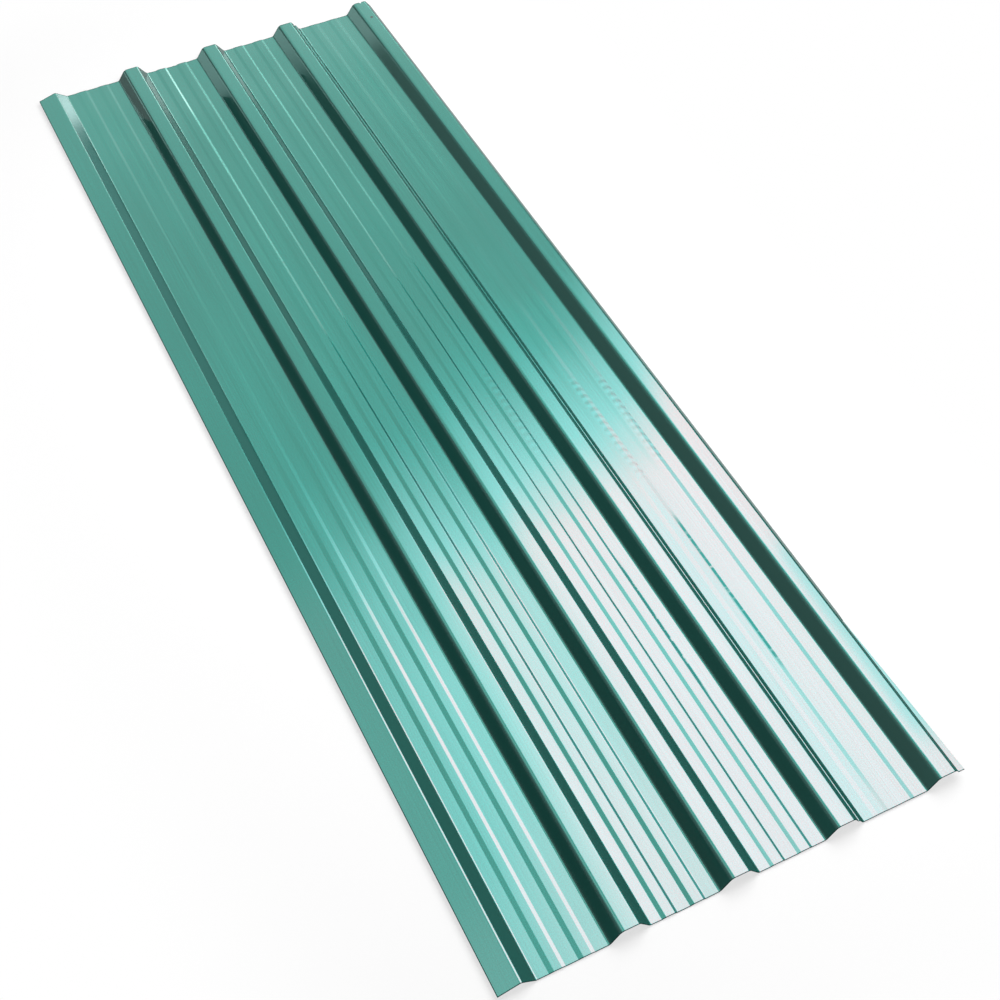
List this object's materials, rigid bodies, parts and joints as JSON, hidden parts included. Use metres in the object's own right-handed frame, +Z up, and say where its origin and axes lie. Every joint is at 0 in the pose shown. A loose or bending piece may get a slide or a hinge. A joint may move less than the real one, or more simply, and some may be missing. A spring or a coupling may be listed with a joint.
{
  "type": "ribbed roofing sheet",
  "caption": "Trapezoidal ribbed roofing sheet of coated steel, with stiffening swages in its pans and nesting side-lap edges, lying flat with its ribs up.",
  "frame": {"origin": "on the resting plane under the pans, at the middle of the sheet's length and width", "axes": "+X across the sheet from the underlap edge to the overlap edge, +Y along the ribs, +Z up, the way the ribs stand"},
  "size_m": [0.4501, 1.29, 0.0138],
  "materials": {
    "teal_coating": "gloss"
  },
  "bodies": {
    "root": {"ribbed_sheet": "teal_coating"}
  },
  "joints": []
}
